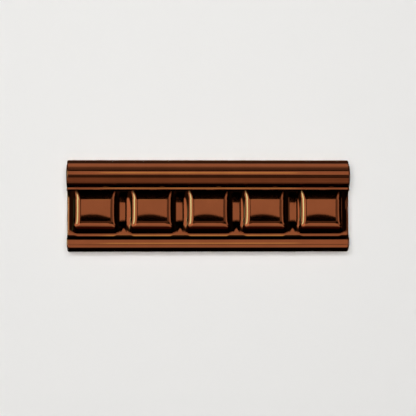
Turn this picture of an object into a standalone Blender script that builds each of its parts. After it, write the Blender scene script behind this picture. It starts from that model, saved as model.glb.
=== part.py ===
"""Glazed dentil moulding: one pressed ceramic trim tile at its real size.

Units are metres. X runs along the moulding, Z is up and the front faces -Y. The
origin is the middle of the flat back, which is bonded to the wall.

A profile point is a pair: its height above the bottom edge, and its depth in
front of the back. A facing angle is 0 where a surface faces straight forward,
+90 where it faces up and -90 where it faces down.
"""
import math

import bmesh
import bpy

# Overall sizes
TILE_LENGTH = 0.152
TILE_HEIGHT = 0.0494
FLOOR_DEPTH = 0.0095  # back to the floor of the recess that holds the dentils
END_SOFTENING = 0.0010  # glaze-softened edge round the front of each end

# Bottom edge and lower bead
BOTTOM_ARRIS_RADIUS = 0.0009
BEAD_RADIUS = 0.0030
BEAD_LIFT = 0.0009  # bottom edge to the underside of the bead
BEAD_SINK = 0.0004  # centre of the bead behind the floor
BEAD_LOWER_TURN = 70.0
BEAD_UPPER_TURN = 65.0

# Cornice: cove under the fillet, fillet, hollow, torus and top edge
UPPER_COVE_RADIUS = 0.0018
UNDERSIDE_TURN = 80.0
FILLET_ARRIS_RADIUS = 0.0005
FILLET_WIDTH = 0.0010
HOLLOW_RADIUS = 0.0018
TORUS_RADIUS = 0.00645
TORUS_SINK = 0.00045  # centre of the torus behind the floor
TORUS_LOWER_TURN = 52.0
TORUS_UPPER_TURN = 85.0
TOP_QUIRK_RADIUS = 0.00045
TOP_EDGE_WIDTH = 0.0004
TOP_ARRIS_RADIUS = 0.0006

# Dentils
DENTIL_COUNT = 5
DENTIL_WIDTH = 0.0215  # at the foot of its walls
DENTIL_PROJECTION = 0.0053  # floor to the edge of the face
FACE_CROWN = 0.0003  # swell of the face in its middle
DENTIL_LIFT = 0.0031  # flat floor left under the dentils' lower edge
TOP_SLOPE_HEIGHT = 0.0051  # top of the face to the bottom of the fillet
TOP_SLOPE = 29.0
TOP_SLOPE_ROUND = 0.0006
SIDE_SLOPE = 75.0
SIDE_FOOT_RADIUS = 0.0025
SIDE_ROUND = 0.0028
BOTTOM_SLOPE = 50.0
BOTTOM_FOOT_RADIUS = 0.0017
BOTTOM_ROUND = 0.0041
CORNER_AT_FOOT = 0.0038
CORNER_AT_FACE = 0.0012

# Keying grooves in the back
GROOVES_PER_HALF = 2
GROOVE_WIDTH = 0.0042
GROOVE_DEPTH = 0.0012
GROOVE_DRAFT = 0.0005
LAND_WIDTH = 0.0036  # raised land between two grooves
MIDDLE_LAND = 0.0080  # raised land along the middle of the back
GROOVE_END_MARGIN = 0.0080

# How finely round work is cut into faces
TORUS_STEPS = 22
BEAD_STEPS = 14
COVE_STEPS = 6
ARRIS_STEPS = 3
END_STEPS = 3
CORNER_STEPS = 5
TOP_CORNER_STEPS = 2
SIDE_STEPS = 3
FOOT_STEPS = 3
SLOPE_STEPS = 2
ROUND_STEPS = 4
CROWN_STEPS = 3

SHARP_ANGLE = math.radians(35.0)
BURIAL = 0.0012  # how far a dentil's root runs into the body behind the floor
SKIRT_SINK = 0.00012  # lets the foot curve meet the floor at a clean line

GLAZE_COLOUR = (0.105, 0.034, 0.014, 1.0)
GLAZE_ROUGHNESS = 0.12


def clear_scene():
    """Remove whatever the file holds."""
    for item in list(bpy.data.objects):
        bpy.data.objects.remove(item, do_unlink=True)


def arc(centre, radius, start, end, steps, hollow=False):
    """Profile points along an arc, from one facing angle to another."""
    side = -1.0 if hollow else 1.0
    points = []
    for step in range(steps + 1):
        facing = math.radians(start + (end - start) * step / steps)
        height = centre[0] + side * radius * math.sin(facing)
        depth = centre[1] + side * radius * math.cos(facing)
        points.append((height, depth))
    return points


def lower_members():
    """Bottom edge, bead and the cove above it, ending on the floor."""
    points = [(0.0, 0.0)]
    bead_centre = (BEAD_LIFT + BEAD_RADIUS, FLOOR_DEPTH - BEAD_SINK)
    arris_centre = (BOTTOM_ARRIS_RADIUS, bead_centre[1] - BOTTOM_ARRIS_RADIUS)
    points += arc(arris_centre, BOTTOM_ARRIS_RADIUS, -90.0, -60.0, ARRIS_STEPS)
    bead = arc(bead_centre, BEAD_RADIUS, -BEAD_LOWER_TURN, BEAD_UPPER_TURN, BEAD_STEPS)
    points += bead
    turn = math.radians(BEAD_UPPER_TURN)
    cove_radius = (bead[-1][1] - FLOOR_DEPTH) / (1.0 - math.cos(turn))
    cove_centre = (bead[-1][0] + cove_radius * math.sin(turn), FLOOR_DEPTH + cove_radius)
    cove = arc(cove_centre, cove_radius, BEAD_UPPER_TURN, 0.0, COVE_STEPS, hollow=True)
    return points + cove[1:]


def torus_centre():
    """Centre of the torus, hung from the top edge of the tile."""
    turn = math.sin(math.radians(TORUS_UPPER_TURN))
    drop = TOP_ARRIS_RADIUS + TOP_EDGE_WIDTH + (TOP_QUIRK_RADIUS + TORUS_RADIUS) * turn
    return (TILE_HEIGHT - drop, FLOOR_DEPTH - TORUS_SINK)


def fillet_face():
    """Top and bottom heights and the depth of the flat fillet under the torus."""
    turn = math.radians(TORUS_LOWER_TURN)
    centre = torus_centre()
    depth = centre[1] + TORUS_RADIUS * math.cos(turn) - HOLLOW_RADIUS * (1.0 - math.cos(turn))
    top = centre[0] - (TORUS_RADIUS + HOLLOW_RADIUS) * math.sin(turn)
    return top, top - FILLET_WIDTH, depth


def cornice_members():
    """Cove under the fillet, fillet, hollow, torus and top edge."""
    fillet_top, fillet_bottom, fillet_depth = fillet_face()
    turn = math.radians(UNDERSIDE_TURN)
    arris_centre = (fillet_bottom, fillet_depth - FILLET_ARRIS_RADIUS)
    arris = arc(arris_centre, FILLET_ARRIS_RADIUS, -UNDERSIDE_TURN, 0.0, ARRIS_STEPS)
    cove_depth = FLOOR_DEPTH + UPPER_COVE_RADIUS * (1.0 - math.cos(turn))
    underside_rise = (arris[0][1] - cove_depth) / math.tan(turn)
    cove_start = arris[0][0] - underside_rise - UPPER_COVE_RADIUS * math.sin(turn)
    cove_centre = (cove_start, FLOOR_DEPTH + UPPER_COVE_RADIUS)
    points = arc(cove_centre, UPPER_COVE_RADIUS, 0.0, -UNDERSIDE_TURN, COVE_STEPS, hollow=True)
    points += arris
    hollow_centre = (fillet_top, fillet_depth + HOLLOW_RADIUS)
    points += arc(hollow_centre, HOLLOW_RADIUS, 0.0, -TORUS_LOWER_TURN, COVE_STEPS, hollow=True)
    torus = arc(torus_centre(), TORUS_RADIUS, -TORUS_LOWER_TURN, TORUS_UPPER_TURN, TORUS_STEPS)
    points += torus[1:]
    turn = math.radians(TORUS_UPPER_TURN)
    quirk_centre = (
        torus[-1][0] + TOP_QUIRK_RADIUS * math.sin(turn),
        torus[-1][1] + TOP_QUIRK_RADIUS * math.cos(turn),
    )
    quirk = arc(quirk_centre, TOP_QUIRK_RADIUS, TORUS_UPPER_TURN, 0.0, ARRIS_STEPS, hollow=True)
    points += quirk[1:]
    arris_centre = (TILE_HEIGHT - TOP_ARRIS_RADIUS, quirk[-1][1] - TOP_ARRIS_RADIUS)
    points += arc(arris_centre, TOP_ARRIS_RADIUS, 0.0, 90.0, ARRIS_STEPS)
    points.append((TILE_HEIGHT, 0.0))
    return points


def body_sections():
    """Places along X and the share by which the profile shrinks there."""
    sections = []
    for step in range(END_STEPS + 1):
        angle = math.radians(90.0 * step / END_STEPS)
        shrink = END_SOFTENING * (1.0 - math.sin(angle))
        inward = END_SOFTENING * (1.0 - math.cos(angle))
        sections.append((TILE_LENGTH / 2.0 - inward, shrink))
    left = [(-place, shrink) for place, shrink in sections]
    return left + sections[::-1]


def build_body(material):
    """Run the profile along X, with softened ends, as one closed solid."""
    profile = lower_members() + cornice_members()
    deepest = max(depth for height, depth in profile)
    middle = TILE_HEIGHT / 2.0
    mesh = bmesh.new()
    rings = []
    for place, shrink in body_sections():
        tall = 1.0 - shrink / middle
        deep = 1.0 - shrink / deepest
        ring = []
        for height, depth in profile:
            ring.append(mesh.verts.new((place, -depth * deep, (height - middle) * tall)))
        rings.append(ring)
    for first, second in zip(rings, rings[1:]):
        for here in range(len(profile)):
            there = (here + 1) % len(profile)
            mesh.faces.new((first[here], second[here], second[there], first[there]))
    mesh.faces.new(rings[0])
    mesh.faces.new(rings[-1][::-1])
    return finish_object("moulding_tile", mesh, material)


def slope_run(level, slope, foot_radius, round_radius):
    """How far in from its foot line a dentil's wall stands at a given level.

    The wall is a hollow foot curve, a straight slope and a round shoulder that
    runs into the face.
    """
    angle = math.radians(slope)
    foot_top = foot_radius * (1.0 - math.cos(angle))
    round_start = DENTIL_PROJECTION - round_radius * (1.0 - math.cos(angle))
    if level <= foot_top:
        square = max(foot_radius ** 2 - (foot_radius - level) ** 2, 0.0)
        return math.sqrt(square) - foot_radius * math.sin(angle)
    if level <= round_start:
        return (level - foot_top) / math.tan(angle)
    below_face = max(DENTIL_PROJECTION - level, 0.0)
    square = max(round_radius ** 2 - (round_radius - below_face) ** 2, 0.0)
    straight = (round_start - foot_top) / math.tan(angle)
    return straight + round_radius * math.sin(angle) - math.sqrt(square)


def side_run(level):
    """Inward run of a dentil's left and right walls."""
    return slope_run(level, SIDE_SLOPE, SIDE_FOOT_RADIUS, SIDE_ROUND)


def bottom_run(level):
    """Inward run of a dentil's lower wall."""
    return slope_run(level, BOTTOM_SLOPE, BOTTOM_FOOT_RADIUS, BOTTOM_ROUND)


def top_run(level):
    """Drop of the sloping top below the line where it would reach the floor."""
    return slope_run(level, TOP_SLOPE, 0.0, TOP_SLOPE_ROUND)


def dentil_levels():
    """Levels above a dentil's foot at which its wall is cut into rings."""
    angle = math.radians(SIDE_SLOPE)
    foot_top = SIDE_FOOT_RADIUS * (1.0 - math.cos(angle))
    round_start = DENTIL_PROJECTION - SIDE_ROUND * (1.0 - math.cos(angle))
    levels = [foot_top * (step / FOOT_STEPS) ** 2 for step in range(FOOT_STEPS)]
    for step in range(SLOPE_STEPS):
        levels.append(foot_top + (round_start - foot_top) * step / SLOPE_STEPS)
    for step in range(ROUND_STEPS + 1):
        bend = angle * (1.0 - step / ROUND_STEPS)
        levels.append(DENTIL_PROJECTION - SIDE_ROUND * (1.0 - math.cos(bend)))
    return levels


def dentil_heights():
    """Heights above the bottom edge of a dentil's foot line and of its face's top."""
    floor_start = lower_members()[-1][0]
    fillet_bottom = fillet_face()[1] - FILLET_ARRIS_RADIUS
    return floor_start + DENTIL_LIFT, fillet_bottom - TOP_SLOPE_HEIGHT


def rounded_outline(half_width, low, high, corner, top_corner):
    """Points round a rectangle with two large lower and two small upper corners."""
    room = 0.45 * min(2.0 * half_width, high - low)
    corner = min(corner, room)
    top_corner = min(top_corner, room)
    corners = [
        (half_width - corner, low + corner, corner, -90.0, CORNER_STEPS),
        (half_width - top_corner, high - top_corner, top_corner, 0.0, TOP_CORNER_STEPS),
        (-half_width + top_corner, high - top_corner, top_corner, 90.0, TOP_CORNER_STEPS),
        (-half_width + corner, low + corner, corner, 180.0, CORNER_STEPS),
    ]
    outline = []
    for across, up, radius, start, steps in corners:
        for step in range(steps + 1):
            angle = math.radians(start + 90.0 * step / steps)
            outline.append((across + radius * math.cos(angle), up + radius * math.sin(angle)))
    filled = []
    for here, point in enumerate(outline):
        ahead = outline[(here + 1) % len(outline)]
        filled.append(point)
        if here in straight_ends():
            for step in range(1, SIDE_STEPS):
                share = step / SIDE_STEPS
                filled.append(tuple(a + (b - a) * share for a, b in zip(point, ahead)))
    return filled


def straight_ends():
    """Positions in the outline after which a straight side follows."""
    first = CORNER_STEPS
    second = first + TOP_CORNER_STEPS + 1
    third = second + TOP_CORNER_STEPS + 1
    return first, second, third, third + CORNER_STEPS + 1


def dentil_ring(level):
    """Outline of a dentil at one level: across, and height above the bottom edge."""
    foot_line, face_top = dentil_heights()
    half_width = DENTIL_WIDTH / 2.0 - side_run(level)
    low = foot_line + bottom_run(level)
    high = face_top + top_run(DENTIL_PROJECTION) - top_run(level)
    share = side_run(level) / side_run(DENTIL_PROJECTION)
    corner = CORNER_AT_FOOT + (CORNER_AT_FACE - CORNER_AT_FOOT) * share
    return rounded_outline(half_width, low, high, corner, CORNER_AT_FACE / 2.0)


def add_ring(mesh, outline, depth):
    """Add one ring of corners at a depth in front of the back."""
    middle = TILE_HEIGHT / 2.0
    return [mesh.verts.new((x, -depth, z - middle)) for x, z in outline]


def build_dentil(index, material):
    """One dentil as a closed block, rooted behind the floor."""
    mesh = bmesh.new()
    foot = FLOOR_DEPTH - SKIRT_SINK
    rings = [add_ring(mesh, dentil_ring(0.0), FLOOR_DEPTH - BURIAL)]
    for level in dentil_levels():
        rings.append(add_ring(mesh, dentil_ring(level), foot + level))
    edge = dentil_ring(DENTIL_PROJECTION)
    face = foot + DENTIL_PROJECTION
    centre_up = (max(z for x, z in edge) + min(z for x, z in edge)) / 2.0
    for step in range(1, CROWN_STEPS):
        share = 1.0 - step / CROWN_STEPS
        outline = [(x * share, centre_up + (z - centre_up) * share) for x, z in edge]
        rings.append(add_ring(mesh, outline, face + FACE_CROWN * (1.0 - share ** 2)))
    peak = add_ring(mesh, [(0.0, centre_up)], face + FACE_CROWN)[0]
    count = len(edge)
    for first, second in zip(rings, rings[1:]):
        for here in range(count):
            there = (here + 1) % count
            mesh.faces.new((first[here], first[there], second[there], second[here]))
    for here in range(count):
        mesh.faces.new((rings[-1][here], rings[-1][(here + 1) % count], peak))
    mesh.faces.new(rings[0][::-1])
    dentil = finish_object(f"dentil_form_{index + 1}", mesh, material)
    pitch = TILE_LENGTH / DENTIL_COUNT
    dentil.location.x = (index - (DENTIL_COUNT - 1) / 2.0) * pitch
    return as_tool(dentil)


def groove_heights():
    """Middle heights of the grooves, counted from the middle of the tile."""
    heights = []
    for index in range(GROOVES_PER_HALF):
        up = MIDDLE_LAND / 2.0 + GROOVE_WIDTH / 2.0 + index * (GROOVE_WIDTH + LAND_WIDTH)
        heights += [up, -up]
    return heights


def build_groove(index, up, material):
    """A tapered bar that cuts one keying groove along the back."""
    mesh = bmesh.new()
    bmesh.ops.create_cube(mesh, size=1.0)
    length = TILE_LENGTH - 2.0 * GROOVE_END_MARGIN
    for corner in mesh.verts:
        outside = corner.co.y > 0.0
        taper = 0.0 if outside else GROOVE_DRAFT
        corner.co.x = math.copysign(length / 2.0 - taper, corner.co.x)
        corner.co.z = math.copysign(GROOVE_WIDTH / 2.0 - taper, corner.co.z)
        corner.co.y = GROOVE_DEPTH if outside else -GROOVE_DEPTH
    groove = finish_object(f"groove_form_{index + 1}", mesh, material)
    groove.location.z = up
    return as_tool(groove)


def finish_object(name, mesh, material):
    """Turn a bmesh into a shaded object in the scene."""
    bmesh.ops.recalc_face_normals(mesh, faces=mesh.faces)
    data = bpy.data.meshes.new(name)
    mesh.to_mesh(data)
    mesh.free()
    data.shade_smooth()
    data.set_sharp_from_angle(angle=SHARP_ANGLE)
    data.materials.append(material)
    item = bpy.data.objects.new(name, data)
    bpy.context.scene.collection.objects.link(item)
    return item


def as_tool(item):
    """Mark an object as a form that shapes the tile and is no piece itself."""
    item.hide_render = True
    item.display_type = "WIRE"
    return item


def combine(body, form, operation):
    """Join a form to the body, or cut it away."""
    step = body.modifiers.new(form.name, "BOOLEAN")
    step.operation = operation
    step.solver = "EXACT"
    step.object = form


def glaze_material():
    """Dark brown glossy glaze."""
    material = bpy.data.materials.new("brown_glaze")
    material.use_nodes = True
    shader = material.node_tree.nodes["Principled BSDF"]
    shader.inputs["Base Color"].default_value = GLAZE_COLOUR
    shader.inputs["Roughness"].default_value = GLAZE_ROUGHNESS
    shader.inputs["Metallic"].default_value = 0.0
    return material


def main():
    """Build the tile."""
    clear_scene()
    glaze = glaze_material()
    tile = build_body(glaze)
    for index in range(DENTIL_COUNT):
        combine(tile, build_dentil(index, glaze), "UNION")
    for index, up in enumerate(groove_heights()):
        combine(tile, build_groove(index, up, glaze), "DIFFERENCE")


main()
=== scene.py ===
"""Looks of the glazed dentil moulding tile, in the shared frame.

One fine piece stands for the CAD solid. Its front is one sheet whose depth is
worked out from the same members as the solid: a top edge, a torus, a fillet, a
recess with five dentils, a cove and a lower bead. The sheet is then
carried back to the wall as the tile's edges and closed with the grooved back.

Sizes in the profile are in millimetres, and meshes are made in metres. A profile
point is its height above the bottom edge and its depth in front of the back. A
facing angle is 0 straight forward, +90 up and -90 down.
"""

import logging
import math
from dataclasses import dataclass, field
from enum import Enum

import bpy
import numpy as np
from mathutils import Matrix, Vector


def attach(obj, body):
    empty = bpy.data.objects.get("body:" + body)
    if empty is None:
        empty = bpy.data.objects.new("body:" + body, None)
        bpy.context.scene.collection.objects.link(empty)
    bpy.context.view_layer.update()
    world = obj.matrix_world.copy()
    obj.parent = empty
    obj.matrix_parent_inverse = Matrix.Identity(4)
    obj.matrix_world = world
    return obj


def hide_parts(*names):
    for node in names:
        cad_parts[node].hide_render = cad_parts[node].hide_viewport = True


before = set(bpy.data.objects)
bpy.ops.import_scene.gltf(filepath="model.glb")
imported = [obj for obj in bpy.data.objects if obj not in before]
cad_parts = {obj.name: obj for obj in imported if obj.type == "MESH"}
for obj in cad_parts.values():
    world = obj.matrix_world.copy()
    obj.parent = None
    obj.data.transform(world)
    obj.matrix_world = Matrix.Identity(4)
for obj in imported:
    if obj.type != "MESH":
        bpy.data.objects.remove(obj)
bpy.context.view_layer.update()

MM = 0.001  # metres in a millimetre
ON_BACK = 1e-7  # metres within which a point lies on the flat back
SAME_HEIGHT = 1e-6  # millimetres within which two heights are one
HALVINGS = 26  # halvings that settle a dentil's level
LAST_CELL = 1.001  # cells from a grid's end that keep a place inside its last cell
SETTLING_ROUNDS = 8  # rounds that settle the lower cove against its wall
NODE = "moulding_tile"
BODY = "root"

log = logging.getLogger("moulding")

Point = tuple[float, float]
Pair = tuple[float, float]


class Ray(Enum):
    """What a light is seen by."""

    REFLECTED = "only mirrored in the glaze"
    LIGHTING = "only lights matt surfaces"


class Side(Enum):
    """A wall of a dentil."""

    LATERAL = "left and right"
    LOWER = "bottom"


def linear(hex_colour: str) -> tuple[float, float, float, float]:
    """Turn an sRGB hex colour into linear light.

    Args:
        hex_colour: six hex digits, such as "A0C0E0".

    Returns:
        Linear red, green, blue and an alpha of 1.
    """
    parts = []
    for start in (0, 2, 4):
        value = int(hex_colour[start:start + 2], 16) / 255.0
        parts.append(value / 12.92 if value <= 0.04045 else ((value + 0.055) / 1.055) ** 2.4)
    return (parts[0], parts[1], parts[2], 1.0)


def per_metre(size_mm: float) -> float:
    """Texture scale that gives features of a size in millimetres."""
    return 1.0 / (size_mm * MM)


def add_node(tree: bpy.types.NodeTree, kind: str, settings: dict | None = None,
             values: dict | None = None, links: dict | None = None) -> bpy.types.Node:
    """Add a node with its settings, socket values and incoming links.

    Args:
        tree: node tree that takes the node.
        kind: node type, such as "ShaderNodeMix".
        settings: attributes of the node.
        values: constants by socket name or index.
        links: output sockets by the input's name or index.

    Returns:
        The new node.
    """
    node = tree.nodes.new(kind)
    for name, value in (settings or {}).items():
        setattr(node, name, value)
    for name, value in (values or {}).items():
        node.inputs[name].default_value = value
    for name, source in (links or {}).items():
        tree.links.new(source, node.inputs[name])
    return node


def new_material(name: str) -> tuple[bpy.types.Material, bpy.types.NodeTree]:
    """Make an empty node material.

    Args:
        name: name of the finish.

    Returns:
        The material and its cleared node tree.
    """
    material = bpy.data.materials.new(name)
    material.use_nodes = True
    material.node_tree.nodes.clear()
    return material, material.node_tree


def arc(centre: Point, radius: float, start: float, end: float, steps: int,
        hollow: bool = False) -> list[Point]:
    """Profile points along an arc between two facing angles.

    Args:
        centre: height and depth of the arc's centre.
        radius: radius of the arc.
        start: facing angle of the first point, in degrees.
        end: facing angle of the last point, in degrees.
        steps: number of pieces.
        hollow: True for a cove, False for a round.

    Returns:
        The points, as height and depth.
    """
    side = -1.0 if hollow else 1.0
    points = []
    for step in range(steps + 1):
        facing = math.radians(start + (end - start) * step / steps)
        points.append((centre[0] + side * radius * math.sin(facing),
                       centre[1] + side * radius * math.cos(facing)))
    return points


def ramp(distance: np.ndarray, width: float) -> np.ndarray:
    """Rise from 0 to 1 while a distance goes from 0 to a width."""
    return np.clip(distance / width, 0.0, 1.0)


@dataclass(frozen=True)
class Cornice:
    """Top edge, torus, fillet and the underside over the dentils."""

    height: float = 49.4
    floor: float = 9.5
    torus_radius: float = 6.64
    torus_sink: float = 0.65
    torus_lower_turn: float = 75.0
    torus_upper_turn: float = 85.0
    quirk_radius: float = 0.4
    top_edge: float = 0.38
    top_arris: float = 0.6
    quirk_depth: float = 12.3
    fillet_high: float = 34.53
    fillet_width: float = 0.56
    fillet_lean: float = 13.0
    fillet_base_lean: float = 4.0
    fillet_arris: float = 0.5
    fillet_top_turn: float = 78.0
    underside_turn: float = 80.0
    underside_cove: float = 0.6
    underside_floor: float = 8.23

    def torus_centre(self) -> Point:
        """Place the torus under the top edge.

        Returns:
            Height and depth of the torus's centre.
        """
        turn = math.sin(math.radians(self.torus_upper_turn))
        drop = self.top_arris + self.top_edge + (self.quirk_radius + self.torus_radius) * turn
        return self.height - drop, self.floor - self.torus_sink

    def fillet(self) -> list[Point]:
        """Draw the fillet under the torus: two small arrises and a face that leans back.

        Returns:
            Its profile points, from the underside up.
        """
        lean = math.radians(self.fillet_lean)
        base_lean = math.radians(self.fillet_base_lean)
        bow = self.fillet_width / (math.sin(lean) - math.sin(base_lean))
        centre = (self.fillet_high - bow * math.sin(lean), self.quirk_depth - bow * math.cos(lean))
        face = arc(centre, bow, self.fillet_base_lean, self.fillet_lean, steps=6)
        low = (face[0][0] - self.fillet_arris * math.sin(base_lean),
               face[0][1] - self.fillet_arris * math.cos(base_lean))
        high = (face[-1][0] - self.fillet_arris * math.sin(lean),
                face[-1][1] - self.fillet_arris * math.cos(lean))
        points = arc(low, self.fillet_arris, -self.underside_turn, self.fillet_base_lean, steps=7)
        points += face[1:-1]
        points += arc(high, self.fillet_arris, self.fillet_lean, self.fillet_top_turn, steps=7)
        return points

    def bottom(self) -> float:
        """Height at which the fillet's lower edge turns under."""
        return self.fillet()[0][0]

    def points(self) -> list[Point]:
        """Draw the section from the start of the underside up to the top edge.

        Returns:
            Its profile points, from low to high.
        """
        fillet = self.fillet()
        turn = math.radians(self.underside_turn)
        cove_end = self.underside_floor + self.underside_cove * (1.0 - math.cos(turn))
        rise = (fillet[0][1] - cove_end) / math.tan(turn)
        start = fillet[0][0] - rise - self.underside_cove * math.sin(turn)
        points = arc((start, self.underside_floor + self.underside_cove), self.underside_cove,
                     0.0, -self.underside_turn, steps=8, hollow=True)
        points += fillet
        torus = arc(self.torus_centre(), self.torus_radius, -self.torus_lower_turn,
                    self.torus_upper_turn, steps=44)
        points += torus
        turn = math.radians(self.torus_upper_turn)
        quirk_centre = (torus[-1][0] + self.quirk_radius * math.sin(turn),
                        torus[-1][1] + self.quirk_radius * math.cos(turn))
        quirk = arc(quirk_centre, self.quirk_radius, self.torus_upper_turn, 0.0, steps=8, hollow=True)
        points += quirk[1:]
        points += arc((self.height - self.top_arris, quirk[-1][1] - self.top_arris),
                      self.top_arris, 0.0, 90.0, steps=8)
        return points


@dataclass(frozen=True)
class LowerMembers:
    """Bottom edge, bead with its leaning upper face, and the cove over it."""

    nose_height: float = 3.88
    nose_depth: float = 12.1
    nose_radius: float = 0.6
    nose_turns: Pair = (-12.0, 2.5)
    belly_radius: float = 3.2
    belly_turn: float = 70.0
    brow_radius: float = 4.9
    weather_height: float = 1.55
    weather_turn: float = 15.5
    weather_arris: float = 0.35
    arris: float = 0.9
    arris_turn: float = 60.0
    inner_turn: float = 56.0
    cove_radius: float = 0.3
    cove_turn: float = 10.0
    cove_top: float = 14.3
    floor: float = 8.75

    @staticmethod
    def centre_beyond(centre: Point, distance: float, turn: float) -> Point:
        """Centre of the arc that meets another arc smoothly at a facing angle."""
        angle = math.radians(turn)
        return centre[0] + distance * math.sin(angle), centre[1] + distance * math.cos(angle)

    def points(self) -> list[Point]:
        """Draw the section from the bottom edge up to the lowest place of the recess.

        The cove's wall and the cove depend on each other, so they are settled in rounds.

        Returns:
            Its profile points, from low to high.
        """
        nose = (self.nose_height, self.nose_depth - self.nose_radius)
        low_turn, high_turn = self.nose_turns
        belly = self.centre_beyond(nose, self.nose_radius - self.belly_radius, low_turn)
        brow = self.centre_beyond(nose, self.nose_radius - self.brow_radius, high_turn)
        points = arc((self.arris, belly[1] - self.arris), self.arris, -90.0, -self.arris_turn,
                     steps=5)
        points += arc(belly, self.belly_radius, -self.belly_turn, low_turn, steps=16)
        points += arc(nose, self.nose_radius, low_turn, high_turn, steps=5)[1:]
        points += arc(brow, self.brow_radius, high_turn, self.weather_turn, steps=8)[1:]
        slope = math.tan(math.radians(self.weather_turn))
        start = points[-1]
        for share in (0.25, 0.5, 0.75, 1.0):
            points.append((start[0] + self.weather_height * share,
                           start[1] - self.weather_height * slope * share))
        turn = math.radians(self.weather_turn)
        centre = (points[-1][0] - self.weather_arris * math.sin(turn),
                  points[-1][1] - self.weather_arris * math.cos(turn))
        points += arc(centre, self.weather_arris, self.weather_turn, self.inner_turn, steps=6)[1:]
        turn = math.radians(self.cove_turn)
        inner = math.radians(self.inner_turn)
        cove_gain = self.cove_radius * (math.cos(turn) - math.cos(inner))
        cove_rise = self.cove_radius * (math.sin(inner) - math.sin(turn))
        top = points[-1]
        wall_rise = 0.0
        for _ in range(SETTLING_ROUNDS):
            cove_end = top[0] + wall_rise + cove_rise
            wide = (self.cove_top - cove_end) / math.sin(turn)
            wall_drop = max(top[1] - cove_gain - wide * (1.0 - math.cos(turn)) - self.floor, 0.0)
            wall_rise = wall_drop / math.tan(inner)
        start = (top[0] + wall_rise, top[1] - wall_drop)
        centre = (start[0] + self.cove_radius * math.sin(inner),
                  start[1] + self.cove_radius * math.cos(inner))
        cove = arc(centre, self.cove_radius, self.inner_turn, self.cove_turn, steps=12,
                   hollow=True)
        points += cove
        centre = (cove[-1][0] + wide * math.sin(turn), cove[-1][1] + wide * math.cos(turn))
        points += arc(centre, wide, self.cove_turn, 0.0, steps=9, hollow=True)[1:]
        return points


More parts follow.
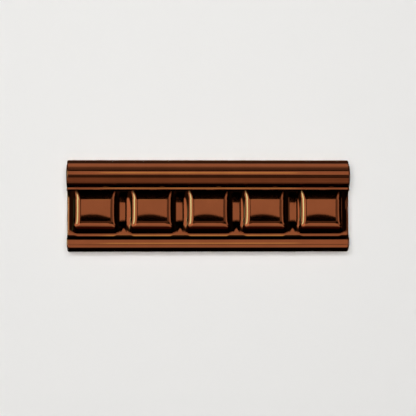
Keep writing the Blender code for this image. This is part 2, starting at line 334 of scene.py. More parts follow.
@dataclass(frozen=True)
class Dentil:
    """One pillow-faced dentil: walls with a hollow foot and a round shoulder."""

    width: float = 22.5
    projection: float = 6.1
    foot_line: float = 9.65
    side_slope: float = 86.0
    side_flare: float = 21.0
    side_foot: float = 12.0
    side_round: float = 5.9
    side_turn: float = 41.0
    lower_slope: float = 50.5
    lower_flare: float = 50.5
    lower_foot: float = 0.5
    lower_round: float = 3.8
    corner_at_floor: float = 5.5
    corner_at_foot: float = 1.9
    corner_at_face: float = 1.0
    corner_limit: float = 0.9
    splay: float = 0.55
    splay_line: float = 18.5
    splay_reach: float = 5.5
    face_depth: float = 14.8
    face_crest: float = 17.6
    across_radius: float = 200.0
    across_crest: float = -5.0
    up_bend: float = 0.0051
    roll: float = 0.00026
    roll_height: float = 19.5
    roll_reach: float = 4.0
    roll_centre: float = -1.5
    crease: float = 28.15
    crease_slope: float = 0.211
    crease_bend: float = 0.0023

    def run(self, side: Side, level: np.ndarray) -> np.ndarray:
        """How far in from its foot line a wall stands at a level.

        Args:
            side: which wall.
            level: heights above the dentil's foot.

        Returns:
            The inward run at each level.
        """
        slope, flare, foot, round_off, round_turn = {
            Side.LATERAL: (self.side_slope, self.side_flare, self.side_foot, self.side_round,
                           self.side_turn),
            Side.LOWER: (self.lower_slope, self.lower_flare, self.lower_foot, self.lower_round,
                         self.lower_slope),
        }[side]
        angle = math.radians(slope)
        turn = math.radians(flare)
        last_turn = math.radians(round_turn)
        foot_top = foot * (1.0 - math.cos(turn))
        round_start = self.projection - round_off * (1.0 - math.cos(last_turn))
        straight = (round_start - foot_top) / math.tan(angle)
        in_foot = np.sqrt(np.clip(foot ** 2 - (foot - level) ** 2, 0.0, None))
        in_foot = in_foot - foot * math.sin(turn)
        on_slope = (level - foot_top) / math.tan(angle)
        below_face = np.clip(self.projection - level, 0.0, None)
        on_round = np.sqrt(np.clip(round_off ** 2 - (round_off - below_face) ** 2, 0.0, None))
        on_round = straight + round_off * math.sin(last_turn) - on_round
        return np.where(level <= foot_top, in_foot, np.where(level <= round_start, on_slope, on_round))

    def wall_run(self) -> float:
        """Run of the straight, steep part of a side wall."""
        round_start = self.projection - self.side_round * (1.0 - math.cos(math.radians(self.side_turn)))
        return float(self.run(Side.LATERAL, np.array(round_start)))

    def outside(self, across: np.ndarray, up: np.ndarray, level: np.ndarray) -> np.ndarray:
        """Distance by which points lie outside the dentil's outline at a level.

        The outline has two sides and a lower end; the top is cut by a slope.

        Args:
            across: distances from the dentil's middle line.
            up: heights above the bottom edge.
            level: level of the outline for each point.

        Returns:
            The distances, negative inside.
        """
        side_run = self.run(Side.LATERAL, level)
        full_run = self.run(Side.LATERAL, np.array(self.projection))
        foot_run = self.run(Side.LATERAL, np.array(0.0))
        spread = np.clip((self.splay_line - up) / self.splay_reach, 0.0, 1.0)
        spread = self.splay * spread ** 2
        side_run = np.where(side_run < 0.0, side_run * (1.0 + spread / foot_run), side_run)
        half = self.width / 2.0 - side_run + spread
        low = self.foot_line + self.run(Side.LOWER, level)
        corner = np.interp(side_run, (float(foot_run), 0.0, float(full_run)),
                           (self.corner_at_floor, self.corner_at_foot, self.corner_at_face))
        radius = np.minimum(corner, self.corner_limit * half)
        past_side = np.abs(across) - half + radius
        past_end = low + radius - up
        corner_reach = np.hypot(np.maximum(past_side, 0.0), np.maximum(past_end, 0.0))
        return corner_reach + np.minimum(np.maximum(past_side, past_end), 0.0) - radius

    def level(self, across: np.ndarray, up: np.ndarray) -> np.ndarray:
        """Find how far up the dentil's walls each place lies, by halving.

        Args:
            across: distances from the dentil's middle line.
            up: heights above the bottom edge.

        Returns:
            Shares of the full projection: 0 outside the foot, 1 on the face.
        """
        low = np.zeros_like(across)
        high = np.full_like(across, self.projection)
        for _ in range(HALVINGS):
            middle = (low + high) / 2.0
            inside = self.outside(across, up, middle) <= 0.0
            low = np.where(inside, middle, low)
            high = np.where(inside, high, middle)
        return low / self.projection

    def face(self, across: np.ndarray, up: np.ndarray) -> np.ndarray:
        """Shape the pillowed face, carried on past its edges.

        Args:
            across: distances from the dentil's middle line.
            up: heights above the bottom edge.

        Returns:
            Depths in front of the back.
        """
        swell = (across - self.across_crest) ** 2 / (2.0 * self.across_radius)
        bend = self.up_bend * (up - self.face_crest) ** 2
        rise = up - self.roll_height
        roll = self.roll * (across - self.roll_centre) ** 2
        roll = roll * rise * np.exp(-(rise / self.roll_reach) ** 2)
        past = np.clip(up - self.crease, 0.0, None)
        chamfer = self.crease_slope * past + self.crease_bend * past ** 2
        return self.face_depth - swell - bend - roll - chamfer


@dataclass(frozen=True)
class GlazeFinish:
    """Treacle glaze: iron-rich lead glaze, fired glossy over buff clay.

    Light that goes down through the amber glass comes back tinted, as from a
    tinted mirror, so the whole share is metallic, with a damped sheen at grazing
    angles. Its colour is a little lighter on arrises, partly the glaze breaking
    thin and partly a painted highlight, and near black in the recess's corners
    and under the rounds, which is painted shade.
    """

    # Ramp colours: the first, a little lighter, is partly the glaze breaking thin on arrises and partly
    # a painted highlight; the body is the glaze's own colour; the last two are painted shade.
    thin_and_lit: str = "61331D"
    body: str = "5C301B"
    mid_shade: str = "3D1C0D"
    deep_shade: str = "0B0301"
    thin_and_lit_below: float = 0.25
    body_between: Pair = (0.42, 0.56)
    mid_shade_at: float = 0.66
    deep_shade_above: float = 0.85
    flow_size: float = 9.0
    edge_tint: str = "BCBCBC"
    metallic: float = 1.0
    roughness: float = 0.07

    def material(self) -> bpy.types.Material:
        """Make the glaze's material.

        Returns:
            A material that follows the piece's glaze_and_painted_shade attribute.
        """
        material, tree = new_material("treacle_glaze")
        place = add_node(tree, "ShaderNodeTexCoord")
        pool_and_shade = add_node(tree, "ShaderNodeAttribute", {"attribute_name": "glaze_and_painted_shade"})
        flow = add_node(tree, "ShaderNodeTexNoise", values={
            "Scale": per_metre(self.flow_size), "Detail": 2.0, "Roughness": 0.5,
        }, links={"Vector": place.outputs["Object"]})
        # The colour comes from the attribute, and its high end is painted shade.
        blend = add_node(tree, "ShaderNodeValToRGB", links={"Fac": pool_and_shade.outputs["Fac"]})
        stops = blend.color_ramp.elements
        stops[0].position = self.thin_and_lit_below
        stops[0].color = linear(self.thin_and_lit)
        stops[1].position = self.deep_shade_above
        stops[1].color = linear(self.deep_shade)
        low, high = self.body_between
        for position, colour in ((low, self.body), (high, self.body), (self.mid_shade_at, self.mid_shade)):
            stops.new(position).color = linear(colour)
        shade = add_node(tree, "ShaderNodeMapRange", values={
            "From Min": 0.3, "From Max": 0.7, "To Min": 0.94, "To Max": 1.04,
        }, links={"Value": flow.outputs["Fac"]})
        tone = add_node(tree, "ShaderNodeVectorMath", {"operation": "SCALE"}, links={
            0: blend.outputs["Color"], "Scale": shade.outputs["Result"],
        })
        shader = add_node(tree, "ShaderNodeBsdfPrincipled", values={
            "Metallic": self.metallic,
            "Roughness": self.roughness,
            "IOR": 1.55,
            "Specular Tint": linear(self.edge_tint),
        }, links={"Base Color": tone.outputs["Vector"]})
        add_node(tree, "ShaderNodeOutputMaterial", links={"Surface": shader.outputs["BSDF"]})
        return material


@dataclass(frozen=True)
class BiscuitFinish:
    """Buff earthenware biscuit: pressed clay fired without glaze, matt and gritty."""

    clay: str = "CDB38C"
    dark: str = "A98B63"
    cloud_size: float = 14.0
    grit_size: float = 0.5
    grit_height: float = 0.1

    def material(self) -> bpy.types.Material:
        """Make the bare clay's material.

        Returns:
            The matt material, clouded and gritty.
        """
        material, tree = new_material("buff_biscuit")
        place = add_node(tree, "ShaderNodeTexCoord")
        cloud = add_node(tree, "ShaderNodeTexNoise", values={
            "Scale": per_metre(self.cloud_size), "Detail": 4.0,
        }, links={"Vector": place.outputs["Object"]})
        grit = add_node(tree, "ShaderNodeTexNoise", values={
            "Scale": per_metre(self.grit_size), "Detail": 3.0,
        }, links={"Vector": place.outputs["Object"]})
        tone = add_node(tree, "ShaderNodeMix", {"data_type": "RGBA"}, values={
            "A": linear(self.clay), "B": linear(self.dark),
        }, links={"Factor": cloud.outputs["Fac"]})
        bump = add_node(tree, "ShaderNodeBump", values={
            "Strength": 0.5, "Distance": self.grit_height * MM,
        }, links={"Height": grit.outputs["Fac"]})
        shader = add_node(tree, "ShaderNodeBsdfPrincipled", values={
            "Roughness": 0.9, "IOR": 1.5,
        }, links={"Base Color": tone.outputs["Result"], "Normal": bump.outputs["Normal"]})
        add_node(tree, "ShaderNodeOutputMaterial", links={"Surface": shader.outputs["BSDF"]})
        return material


@dataclass(frozen=True)
class WallFinish:
    """Plain pale matt backdrop, seen from its front only."""

    paint: str = "EDECEA"

    def material(self) -> bpy.types.Material:
        """Make the backdrop's material.

        Returns:
            A matt material that is clear from behind.
        """
        material, tree = new_material("pale_backdrop")
        matt = add_node(tree, "ShaderNodeBsdfDiffuse", values={"Color": linear(self.paint)})
        clear = add_node(tree, "ShaderNodeBsdfTransparent")
        side = add_node(tree, "ShaderNodeNewGeometry")
        mix = add_node(tree, "ShaderNodeMixShader", links={
            0: side.outputs["Backfacing"], 1: matt.outputs["BSDF"], 2: clear.outputs["BSDF"],
        })
        add_node(tree, "ShaderNodeOutputMaterial", links={"Surface": mix.outputs["Shader"]})
        return material


@dataclass(frozen=True)
class GlazePoolsAndShade:
    """How dark the glaze is made across the front: a little darker where it pools in
    hollows, and much darker where shade is painted under the rounds, in the
    recess's corners and beside the dentils' feet.

    A line is where a painted shade starts, and its fade the distance in which it
    comes to its full share. Heights are above the bottom edge.
    """

    # Even film, lighter on rounds and darker in hollows: partly the glaze breaking thin and pooling,
    # partly a painted highlight and painted shade
    common: float = 0.5
    cell: float = 0.35
    blur_reach: int = 6
    blur_spread: float = 2.6
    hollow_span: float = 3.0
    hollow_limits: Pair = (-0.2, 0.05)
    # Painted shade under the torus, from its middle down
    torus_shade_line: float = 0.1
    torus_shade_fade: float = 1.0
    torus_shade_share: float = 0.18
    # Painted shade under the fillet, between two dentils
    ledge_line: float = 29.1
    ledge_fade: float = 1.0
    ledge_gap: float = 0.1
    ledge_share: float = 0.35
    # Painted shade over each dentil's head, under the fillet
    head_line: float = 29.8
    head_fade: float = 2.4
    head_share: float = 0.36
    # Painted shade in the quirk over the bead, dipping under each dentil
    quirk_line: float = 9.05
    quirk_fade: float = 0.3
    quirk_floor: float = 6.7
    quirk_dip: float = 0.5
    quirk_dip_fade: float = 1.5
    quirk_share: float = 0.5
    # Painted shade in the hollow over the torus
    brim: Pair = (48.15, 48.95)
    brim_fades: Pair = (0.2, 0.1)
    brim_share: float = 0.3
    # Lower limit of the painted shade beside the feet, which rises away from the dentil
    floor_line: float = 10.15
    floor_fade: float = 0.4
    floor_start: float = 11.2
    floor_slope: float = 0.3
    floor_bend: float = 0.085
    # Painted shade low in the gap between two dentils
    cleft_left: float = 2.2
    cleft_right: float = 1.0
    cleft_fade: float = 0.3
    cleft_top: float = 16.8
    cleft_top_fade: float = 0.8
    # Lit leaf beside each left foot, where no shade is painted
    leaf_middle: Point = (12.9, 21.1)
    leaf_half: Pair = (1.5, 8.5)
    leaf_power: float = 2.5
    leaf_edge: float = 0.75
    leaf_fade: float = 0.5
    curl: float = 0.7
    curl_line: float = 18.5
    curl_fade: float = 5.0
    # Painted shade beside the feet
    left_overlap: float = 0.12
    left_near_fade: float = 0.1
    left_reach: float = 3.2
    left_far_fade: float = 0.3
    right_overlap: float = 0.5
    right_near_fade: float = 0.3
    right_reach: float = 1.9
    right_far_fade: float = 0.5
    foot_share: float = 0.4
    # Ends of the tile, where the painted shade stops, and a patch at the right end left without it
    unshaded_heights: Pair = (23.1, 27.9)
    unshaded_reach: float = 1.7
    rim: float = 0.95
    rim_fade: float = 0.3

    def blurred(self, depths: np.ndarray) -> np.ndarray:
        """Average a grid of depths around each place, nearer places counting more.

        Args:
            depths: depths on an even grid.

        Returns:
            The means, on the same grid.
        """
        reach = self.blur_reach
        offsets = np.arange(-reach, reach + 1)
        weights = np.exp(-0.5 * (offsets / self.blur_spread) ** 2)
        weights /= weights.sum()
        mean = depths
        for axis in (0, 1):
            pad = [(reach, reach) if axis == side else (0, 0) for side in (0, 1)]
            padded = np.pad(mean, pad, mode="edge")
            total = np.zeros_like(mean)
            for offset, weight in enumerate(weights):
                window = [slice(None), slice(None)]
                window[axis] = slice(offset, offset + mean.shape[axis])
                total += weight * padded[tuple(window)]
            mean = total
        return mean


@dataclass(frozen=True)
class GlazeLine:
    """Uneven line on the tile's edges at which the glaze stops.

    The wave numbers are in radians to the metre.
    """

    depth: float = 1.1
    swing: float = 0.22
    long_wave: float = 173.0
    long_start: float = 1.3
    short_wave: Pair = (411.0, 260.0)
    short_share: float = 0.6
    clearance: float = 0.5

    def at(self, place: Vector) -> float:
        """Find the line beside a point of the front.

        Args:
            place: the point, in metres.

        Returns:
            The line's depth in front of the back, in metres.
        """
        long_part = math.sin(place.x * self.long_wave + self.long_start)
        short_part = math.sin(place.x * self.short_wave[0] + place.z * self.short_wave[1])
        return (self.depth + self.swing * (long_part + self.short_share * short_part)) * MM


@dataclass(frozen=True)
class GridSpacing:
    """Spacing of the front's columns and rows, finest at the dentils' walls."""

    shoulder: float = 4.6
    foot: float = 3.4
    column_steps: tuple[int, ...] = (5, 20, 2, 10, 2)
    end_steps: int = 8
    least_column: float = 0.02
    below_foot: float = 1.4
    above_foot: float = 5.6
    fine_row: float = 0.23
    coarse_row: float = 0.62
    crease_row: float = 0.1
    least_row: float = 0.05
    recess_row: float = 1.2
    least_recess_rows: int = 6


@dataclass
class MouldingTile:
    """The whole tile as one piece."""

    length: float = 152.0
    count: int = 5
    end_softening: float = 1.0
    foot_overlap: float = 3.5
    smooth_angle: float = 40.0
    groove_width: float = 3.7
    groove_depth: float = 1.2
    groove_draft: float = 0.25
    groove_land: float = 4.1
    middle_land: float = 8.5
    groove_end_margin: float = 8.0
    cornice: Cornice = field(default_factory=Cornice)
    lower: LowerMembers = field(default_factory=LowerMembers)
    dentil: Dentil = field(default_factory=Dentil)
    recess: tuple[Point, ...] = ((14.7, 0.0), (27.8, -0.55))
    grid: GridSpacing = field(default_factory=GridSpacing)
    pools_and_shade: GlazePoolsAndShade = field(default_factory=GlazePoolsAndShade)
    glaze_line: GlazeLine = field(default_factory=GlazeLine)

    def profile(self) -> tuple[np.ndarray, np.ndarray]:
        """Draw the moulding's section between the dentils.

        Returns:
            Heights and depths, from low to high.
        """
        low = self.lower.points()
        top = self.cornice.points()
        start, end = low[-1], top[0]
        stops = [start] + [(up, start[1] + rise) for up, rise in self.recess] + [end]
        points = list(low)
        for first, second in zip(stops, stops[1:]):
            steps = max(int((second[0] - first[0]) / self.grid.recess_row),
                        self.grid.least_recess_rows)
            for step in range(1, steps + 1):
                share = step / steps
                ease = 0.5 - 0.5 * math.cos(math.pi * share)
                points.append((first[0] + (second[0] - first[0]) * share,
                               first[1] + (second[1] - first[1]) * ease))
        points += top[1:]
        heights = np.array([point[0] for point in points])
        depths = np.array([point[1] for point in points])
        keep = np.concatenate(([True], np.diff(np.maximum.accumulate(heights)) > SAME_HEIGHT))
        return heights[keep], depths[keep]

    def in_pitch(self, across: np.ndarray) -> np.ndarray:
        """Distances from the middle line of the nearest dentil."""
        pitch = self.length / self.count
        return np.mod(across + self.length / 2.0, pitch) - pitch / 2.0

    def depth(self, across: np.ndarray, up: np.ndarray) -> np.ndarray:
        """Depth of the front at each place.

        Args:
            across: distances from the tile's middle.
            up: heights above the bottom edge.

        Returns:
            The depths in front of the back.
        """
        heights, depths = self.profile()
        base = np.interp(up, heights, depths)
        lowest = self.lower.points()[-1]
        floor_end = self.cornice.points()[0]
        floor = np.where(up > floor_end[0], floor_end[1], base)
        floor = np.where(up < lowest[0] - self.foot_overlap, lowest[1], floor)
        place = self.in_pitch(across)
        level = self.dentil.level(place, up)
        form = floor + level * (self.dentil.face(place, up) - floor)
        return np.where(level > 0.0, np.maximum(base, form), base)

    def columns(self) -> np.ndarray:
        """Choose where the front is cut into columns.

        Returns:
            Distances from the tile's middle, from left to right.
        """
        grid = self.grid
        pitch = self.length / self.count
        half = self.dentil.width / 2.0
        stops = (0.0, half - grid.shoulder, half - self.dentil.wall_run(), half, half + grid.foot,
                 pitch / 2.0)
        parts = [np.linspace(first, last, steps + 1)[:-1]
                 for first, last, steps in zip(stops, stops[1:], grid.column_steps)]
        step = np.concatenate(parts + [[pitch / 2.0]])
        one = np.concatenate((-step[::-1], step[1:]))
        places = [one + (index - (self.count - 1) / 2.0) * pitch for index in range(self.count)]
        angles = np.radians(np.linspace(0.0, 90.0, grid.end_steps + 1))
        ends = self.length / 2.0 - self.end_softening * (1.0 - np.cos(angles))
        merged = np.unique(np.round(np.concatenate(places + [ends, -ends]), 4))
        return self.spaced(merged, grid.least_column)

    def rows(self) -> np.ndarray:
        """Choose where the front is cut into rows.

        Returns:
            Heights above the bottom edge, from low to high.
        """
        grid = self.grid
        heights, _ = self.profile()
        foot = self.dentil.foot_line
        extra = [
            np.arange(foot - grid.below_foot, foot + grid.above_foot, grid.fine_row),
            np.arange(foot + grid.above_foot, self.cornice.bottom(), grid.coarse_row),
            self.dentil.crease + np.array((-grid.crease_row, 0.0, grid.crease_row)),
        ]
        merged = np.unique(np.round(np.concatenate([heights] + extra), 4))
        return self.spaced(merged, grid.least_row)

    @staticmethod
    def spaced(places: np.ndarray, least: float) -> np.ndarray:
        """Drop places that crowd the one before, keeping both ends.

        Args:
            places: sorted places.
            least: least distance between two of them.

        Returns:
            The places that are left.
        """
        kept = [places[0]]
        for place in places[1:-1]:
            if place - kept[-1] >= least and places[-1] - place >= least:
                kept.append(place)
        kept.append(places[-1])
        return np.array(kept)

    def pool_and_shade(self, across: np.ndarray, up: np.ndarray) -> np.ndarray:
        """Work out how dark the glaze is, with its painted shade.

        Glaze runs off rounds and gathers in hollows, so this compares each place
        with the mean depth around it, read from an even grid: partly that run-off
        and partly painted shade in hollows and a painted highlight on rounds. The
        painted shade in the recess's corners and under the rounds is added on top.

        Args:
            across: distances from the tile's middle.
            up: heights above the bottom edge.

        Returns:
            Value at each place, 0 on sharp arrises to 1 in tight hollows and the darkest painted shade.
        """
        cell, height = self.pools_and_shade.cell, self.cornice.height
        xs = np.arange(-self.length / 2.0, self.length / 2.0 + cell, cell)
        zs = np.arange(0.0, height + cell, cell)
        grid_x, grid_z = np.meshgrid(xs, zs)
        depths = self.depth(grid_x, np.clip(grid_z, 0.0, height))
        hollow = self.pools_and_shade.blurred(depths) - depths
        column = np.clip((across - xs[0]) / cell, 0.0, len(xs) - LAST_CELL)
        row = np.clip((up - zs[0]) / cell, 0.0, len(zs) - LAST_CELL)
        left, low = column.astype(int), row.astype(int)
        share_x, share_z = column - left, row - low
        under = hollow[low, left] * (1 - share_x) + hollow[low, left + 1] * share_x
        over = hollow[low + 1, left] * (1 - share_x) + hollow[low + 1, left + 1] * share_x
        value = under * (1 - share_z) + over * share_z
        # Darker in hollows and lighter on rounds: partly the glaze pooling and breaking thin, partly
        # painted shade and a painted highlight.
        drift = np.clip(value / self.pools_and_shade.hollow_span, *self.pools_and_shade.hollow_limits)
        return np.clip(self.pools_and_shade.common + drift + self.painted_shade(across, up), 0.0, 1.0)

    def painted_shade(self, across: np.ndarray, up: np.ndarray) -> np.ndarray:
        """Add up the painted shade in the corners of the recess and under the rounds.

        Args:
            across: distances from the tile's middle.
            up: heights above the bottom edge.

        Returns:
            Extra painted shade at each place.
        """
        pools_and_shade = self.pools_and_shade
        aside = np.abs(self.in_pitch(across))
        half = self.dentil.width / 2.0
        centre = self.cornice.torus_centre()[0]
        in_recess = up < self.cornice.bottom()
        # Painted shade under the torus, under the fillet, over the dentils' heads, in the quirk over
        # the bead and in the hollow over the torus.
        hang = ramp(centre + pools_and_shade.torus_shade_line - up, pools_and_shade.torus_shade_fade)
        hang = hang * (up > centre - self.cornice.torus_radius)
        ledge = ramp(up - pools_and_shade.ledge_line, pools_and_shade.ledge_fade)
        ledge = ledge * (aside > half + pools_and_shade.ledge_gap) * in_recess
        head = ramp(up - pools_and_shade.head_line, pools_and_shade.head_fade) * (aside < half) * in_recess
        dip = pools_and_shade.quirk_dip * ramp(half - aside, pools_and_shade.quirk_dip_fade)
        quirk = ramp(pools_and_shade.quirk_line - dip - up, pools_and_shade.quirk_fade) * (up > pools_and_shade.quirk_floor)
        brim = ramp(up - pools_and_shade.brim[0], pools_and_shade.brim_fades[0])
        brim = brim * ramp(pools_and_shade.brim[1] - up, pools_and_shade.brim_fades[1])
        total = pools_and_shade.torus_shade_share * hang + pools_and_shade.ledge_share * ledge + pools_and_shade.head_share * head
        total = total + pools_and_shade.quirk_share * quirk + pools_and_shade.brim_share * brim
        return total + pools_and_shade.foot_share * self.beside_feet(across, up)

    def beside_feet(self, across: np.ndarray, up: np.ndarray) -> np.ndarray:
        """Paint shade on the floor beside the dentils' feet, round the lit leaf at the left.

        Args:
            across: distances from the tile's middle.
            up: heights above the bottom edge.

        Returns:
            Share of the painted shade at each place, 0 to 1.
        """
        pools_and_shade = self.pools_and_shade
        place = self.in_pitch(across)
        aside = np.abs(place)
        inward = self.length / 2.0 - np.abs(across)
        half = self.dentil.width / 2.0
        last_gap = (self.length - self.length / self.count) / 2.0
        first, last = across < -last_gap, across > last_gap
        # All of this is painted shade on the recess floor. It is left out on the lit leaf, at the
        # tile's ends and in a patch at the right end.
        out = aside - pools_and_shade.floor_start
        rise = pools_and_shade.floor_slope * out + pools_and_shade.floor_bend * out ** 2
        floor = ramp(up - pools_and_shade.floor_line - rise, pools_and_shade.floor_fade) * (up < self.cornice.bottom())
        start = np.where(place > 0.0, pools_and_shade.cleft_right, pools_and_shade.cleft_left)
        cleft = floor * ramp(aside - half - start, pools_and_shade.cleft_fade)
        cleft *= ramp(pools_and_shade.cleft_top - up, pools_and_shade.cleft_top_fade)
        curl = pools_and_shade.curl * ramp(pools_and_shade.curl_line - up, pools_and_shade.curl_fade) ** 2
        leaf = ((aside - pools_and_shade.leaf_middle[0] + curl) / pools_and_shade.leaf_half[0]) ** 2
        rest = np.abs(up - pools_and_shade.leaf_middle[1]) / pools_and_shade.leaf_half[1]
        leaf = leaf + rest ** pools_and_shade.leaf_power
        beyond_leaf = np.where(first, 1.0, ramp(leaf - pools_and_shade.leaf_edge, pools_and_shade.leaf_fade))
        left = ramp(-place - half + pools_and_shade.left_overlap, pools_and_shade.left_near_fade) * (place < 0.0)
        left *= ramp(half + pools_and_shade.left_reach + place, pools_and_shade.left_far_fade) * floor * beyond_leaf
        right = ramp(place - half + pools_and_shade.right_overlap, pools_and_shade.right_near_fade)
        far = ramp(half + pools_and_shade.right_reach - place, pools_and_shade.right_far_fade)
        right *= np.where(last, 1.0, far) * floor
        # Patch at the right end with no painted shade, so the mirrored light shows there.
        low, high = pools_and_shade.unshaded_heights
        bare = last & (up > low) & (up < high) & (inward < pools_and_shade.unshaded_reach)
        right = np.where(bare, 0.0, right)
        rim = ramp(inward - pools_and_shade.rim, pools_and_shade.rim_fade)
        return np.maximum(np.maximum(left, right) * rim, cleft * rim)

    def build_front(self) -> bpy.types.Object:
        """Lay a fine grid over the front and give it the moulding's depth.

        Returns:
            The front as an open sheet, in metres.
        """
        columns, rows = self.columns(), self.rows()
        bpy.ops.object.select_all(action="DESELECT")
        bpy.ops.mesh.primitive_grid_add(
            x_subdivisions=len(columns) - 1, y_subdivisions=len(rows) - 1, size=1.0,
            location=(0.0, 0.0, 0.0),
        )
        tile = bpy.context.active_object
        tile.name = "dentil_moulding"
        across, up = np.meshgrid(columns, rows)
        depth = self.depth(across, up)
        inward = self.length / 2.0 - np.abs(across)
        lean = np.clip(1.0 - inward / self.end_softening, 0.0, 1.0)
        shrink = self.end_softening * (1.0 - np.sqrt(1.0 - lean ** 2))
        middle = self.cornice.height / 2.0
        high = (up - middle) * (1.0 - shrink / middle)
        deep = depth * (1.0 - shrink / depth.max())
        places = np.stack((across, -deep, high), axis=-1).reshape(-1, 3) * MM
        tile.data.vertices.foreach_set("co", places.ravel())
        # This attribute sets the glaze's colour, and most of its dark end is painted shade.
        layer = tile.data.attributes.new("glaze_and_painted_shade", "FLOAT", "POINT")
        layer.data.foreach_set("value", self.pool_and_shade(across, up).ravel())
        tile.data.update()
        log.info("front: %d columns, %d rows", len(columns), len(rows))
        return tile

    def close_back(self, tile: bpy.types.Object) -> None:
        """Carry the front's border back as the tile's edges and fill the back.

        Args:
            tile: the open front.
        """
        bpy.ops.object.mode_set(mode="EDIT")
        bpy.ops.mesh.select_mode(type="EDGE")
        for glazed in (True, False):
            bpy.ops.mesh.select_all(action="DESELECT")
            bpy.ops.mesh.select_non_manifold(extend=False, use_wire=False, use_boundary=True,
                                             use_multi_face=False, use_non_contiguous=False,
                                             use_verts=False)
            bpy.ops.mesh.extrude_edges_move(TRANSFORM_OT_translate={"value": (0.0, 0.0, 0.0)})
            bpy.ops.object.mode_set(mode="OBJECT")
            for vertex in tile.data.vertices:
                if vertex.select:
                    vertex.co.y = -self.glaze_line.at(vertex.co) if glazed else 0.0
            bpy.ops.object.mode_set(mode="EDIT")
        bpy.ops.mesh.edge_face_add()
        bpy.ops.object.mode_set(mode="OBJECT")

    def groove_centres(self) -> list[float]:
        """Place the keying grooves.

        Returns:
            Heights of their middle lines from the middle of the back.
        """
        first = (self.middle_land + self.groove_width) / 2.0
        second = first + self.groove_width + self.groove_land
        return [-second, -first, first, second]

    def cut_grooves(self, tile: bpy.types.Object) -> None:
        """Press the keying grooves into the back, stopping short of the ends.

        Args:
            tile: the closed tile.
        """
        half = self.groove_width / 2.0
        reach = self.length / 2.0 - self.groove_end_margin
        cuts = [((0.0, 0.0, centre + side * half), (0.0, 0.0, 1.0))
                for centre in self.groove_centres() for side in (-1.0, 1.0)]
        cuts += [((side * reach, 0.0, 0.0), (1.0, 0.0, 0.0)) for side in (-1.0, 1.0)]
        self.select_back(tile)
        bpy.ops.object.mode_set(mode="EDIT")
        bpy.ops.mesh.hide(unselected=True)
        for place, normal in cuts:
            bpy.ops.mesh.select_all(action="SELECT")
            bpy.ops.mesh.bisect(plane_co=[value * MM for value in place], plane_no=normal)
        bpy.ops.mesh.reveal(select=False)
        bpy.ops.object.mode_set(mode="OBJECT")
        self.select_back(tile, grooves_only=True)
        bpy.ops.object.mode_set(mode="EDIT")
        bpy.ops.mesh.extrude_region_move(
            TRANSFORM_OT_translate={"value": (0.0, -self.groove_depth * MM, 0.0)})
        bpy.ops.object.mode_set(mode="OBJECT")
        for vertex in tile.data.vertices:
            if vertex.select:
                up = vertex.co.z / MM
                centre = min(self.groove_centres(), key=lambda place: abs(place - up))
                vertex.co.z -= math.copysign(self.groove_draft, up - centre) * MM
                vertex.co.x -= math.copysign(self.groove_draft, vertex.co.x) * MM

    def select_back(self, tile: bpy.types.Object, grooves_only: bool = False) -> None:
        """Select the faces of the flat back.

        Args:
            tile: the closed tile.
            grooves_only: True for only those faces that become grooves.
        """
        bpy.ops.object.mode_set(mode="EDIT")
        bpy.ops.mesh.select_mode(type="FACE")
        bpy.ops.mesh.select_all(action="DESELECT")
        bpy.ops.object.mode_set(mode="OBJECT")
        reach = (self.length / 2.0 - self.groove_end_margin) * MM
        for face in tile.data.polygons:
            flat = all(abs(tile.data.vertices[index].co.y) < ON_BACK for index in face.vertices)
            strip = abs(face.center.x) < reach and any(
                abs(face.center.z / MM - centre) < self.groove_width / 2.0
                for centre in self.groove_centres())
            face.select = flat and (strip or not grooves_only)

    def dress(self, tile: bpy.types.Object) -> None:
        """Give the tile its glaze and the bare clay behind the glaze line.

        Args:
            tile: the finished mesh.
        """
        tile.data.materials.clear()
        tile.data.materials.append(GlazeFinish().material())
        tile.data.materials.append(BiscuitFinish().material())
        limit = -(self.glaze_line.depth + self.glaze_line.clearance) * MM
        for face in tile.data.polygons:
            behind = all(tile.data.vertices[index].co.y > limit for index in face.vertices)
            face.material_index = 1 if behind else 0
        bpy.ops.object.select_all(action="DESELECT")
        tile.select_set(True)
        bpy.context.view_layer.objects.active = tile
        bpy.ops.object.shade_smooth_by_angle(angle=math.radians(self.smooth_angle))

    def build(self) -> bpy.types.Object:
        """Build the tile and enter it in the frame.

        Returns:
            The finished piece.
        """
        tile = self.build_front()
        self.close_back(tile)
        self.cut_grooves(tile)
        self.dress(tile)
        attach(tile, BODY)
        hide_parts(NODE)
        log.info("%s: %d faces", tile.name, len(tile.data.polygons))
        return tile


@dataclass(frozen=True)
class Card:
    """Glowing card that fills a window of directions from the tile.

    Limits are in degrees. An azimuth is 0 straight in front and negative to the
    left, and an elevation past 90 leans over to the back.
    """

    name: str
    azimuth: Pair
    elevation: Pair
    radiance: float
    colour: str = "FFFFFF"
    seen_by: Ray = Ray.REFLECTED

    def hang(self, distance: float) -> None:
        """Hang the card round the tile, facing it.

        Args:
            distance: metres from the middle of the tile's back.
        """
        data = bpy.data.lights.new(self.name, "AREA")
        data.shape = "RECTANGLE"
        half_across = math.radians(self.azimuth[1] - self.azimuth[0]) / 2.0
        half_up = math.radians(self.elevation[1] - self.elevation[0]) / 2.0
        data.size = 2.0 * distance * math.tan(half_across)
        data.size_y = 2.0 * distance * math.tan(half_up)
        data.energy = math.pi * self.radiance * data.size * data.size_y
        data.color = linear(self.colour)[:3]
        light = bpy.data.objects.new(self.name, data)
        bpy.context.scene.collection.objects.link(light)
        around = math.radians(self.azimuth[0] + self.azimuth[1]) / 2.0
        above = math.radians(self.elevation[0] + self.elevation[1]) / 2.0
        away = Vector((math.sin(around) * math.cos(above), -math.cos(around) * math.cos(above),
                       math.sin(above)))
        light.location = away * distance
        light.rotation_mode = "QUATERNION"
        light.rotation_quaternion = (-away).to_track_quat("-Z", "Y")
        light.visible_camera = False
        light.visible_diffuse = self.seen_by is Ray.LIGHTING
        light.visible_glossy = self.seen_by is Ray.REFLECTED


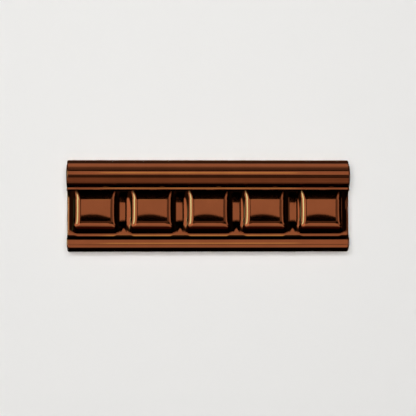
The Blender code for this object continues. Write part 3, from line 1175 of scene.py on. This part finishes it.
CARDS = (
    Card("key", (-20.0, 12.0), (-8.0, 22.0), 11.0, seen_by=Ray.LIGHTING),
    Card("front_panel", (-15.0, 24.0), (2.6, 35.2), 2.39),
    Card("long_lamp", (-6.0, 8.5), (15.0, 25.0), 3.5, "BCFFB5"),
    Card("low_glow", (-15.0, 24.0), (-19.0, -4.0), 0.58),
    Card("low_panel", (-22.0, 40.0), (-68.0, -25.0), 2.5),
    Card("low_tail", (-30.0, 40.0), (-85.0, -68.0), 1.5),
    Card("rise_0", (-22.0, 24.0), (43.8, 58.0), 0.45),
    Card("rise_1", (-30.0, 30.0), (58.0, 76.0), 0.65),
    Card("rise_2", (-30.0, 30.0), (76.0, 93.0), 1.8),
    Card("top_panel", (-30.0, 30.0), (93.0, 133.0), 2.5),
    Card("top_tail", (-30.0, 30.0), (133.0, 165.0), 1.0),
    Card("right_side", (84.0, 112.0), (-25.0, 30.0), 1.1),
    Card("right_rear", (112.0, 155.0), (-40.0, 5.0), 0.6),
    Card("left_rear", (200.0, 250.0), (8.0, 50.0), 0.8),
    Card("back_fill", (150.0, 210.0), (-5.0, 45.0), 2.4, seen_by=Ray.LIGHTING),
    Card("left_window", (-71.5, -22.0), (-50.0, 34.5), 3.3),
    Card("left_core", (-56.0, -44.0), (-16.0, 31.0), 20.0, "74EEFF"),
    Card("right_card", (45.0, 58.0), (-25.0, 33.0), 2.2),
    Card("right_glow", (25.0, 45.0), (-5.0, 33.0), 0.8),
)


@dataclass
class Studio:
    """Backdrop, camera and lights, in metres."""

    camera_place: tuple[float, float, float] = (-0.020, -0.6295, 0.0)
    aim: tuple[float, float, float] = (-0.00022, -0.0095, -0.00109)
    lens: float = 99.5
    sensor: float = 36.0
    card_distance: float = 1.2
    backdrop_size: float = 3.0
    backdrop_gap: float = 0.0004
    air: str = "EAE9E7"
    reflected_air: float = 0.01

    def build_backdrop(self) -> None:
        """Stand a wide plane right behind the tile."""
        bpy.ops.object.select_all(action="DESELECT")
        bpy.ops.mesh.primitive_plane_add(size=self.backdrop_size, location=(0.0, 0.0, 0.0))
        wall = bpy.context.active_object
        wall.name = "backdrop"
        for vertex in wall.data.vertices:
            vertex.co = (vertex.co.x, self.backdrop_gap, vertex.co.y)
        wall.data.materials.append(WallFinish().material())
        wall.visible_glossy = False
        wall.visible_shadow = False

    def build_camera(self) -> None:
        """Place the camera at the picture's angle."""
        data = bpy.data.cameras.new("camera")
        data.lens = self.lens
        data.sensor_width = self.sensor
        camera = bpy.data.objects.new("camera", data)
        bpy.context.scene.collection.objects.link(camera)
        camera.location = self.camera_place
        towards = Vector(self.aim) - Vector(self.camera_place)
        camera.rotation_euler = towards.to_track_quat("-Z", "Y").to_euler()
        bpy.context.scene.camera = camera

    def build_lights(self) -> None:
        """Hang the cards that the glaze mirrors and those that light matt surfaces."""
        for card in CARDS:
            card.hang(self.card_distance)

    def build_world(self) -> None:
        """Make the air pale to the camera and nearly dark to reflections."""
        world = bpy.data.worlds.new("studio")
        bpy.context.scene.world = world
        world.use_nodes = True
        tree = world.node_tree
        tree.nodes.clear()
        path = add_node(tree, "ShaderNodeLightPath")
        pale = add_node(tree, "ShaderNodeBackground", values={
            "Color": linear(self.air), "Strength": 1.0,
        })
        dim = add_node(tree, "ShaderNodeBackground", values={
            "Color": linear(self.air), "Strength": self.reflected_air,
        })
        mix = add_node(tree, "ShaderNodeMixShader", links={
            0: path.outputs["Is Camera Ray"], 1: dim.outputs["Background"],
            2: pale.outputs["Background"],
        })
        add_node(tree, "ShaderNodeOutputWorld", links={"Surface": mix.outputs["Shader"]})
        view = bpy.context.scene.view_settings
        view.view_transform = "Standard"
        view.look = "None"

    def build(self) -> None:
        """Set up the whole studio."""
        self.build_camera()
        self.build_backdrop()
        self.build_lights()
        self.build_world()


def main() -> None:
    """Build every piece and the studio round them."""
    logging.basicConfig(level=logging.INFO, format="%(name)s: %(message)s")
    Studio().build()
    MouldingTile().build()


if __name__ == "__main__":
    main()
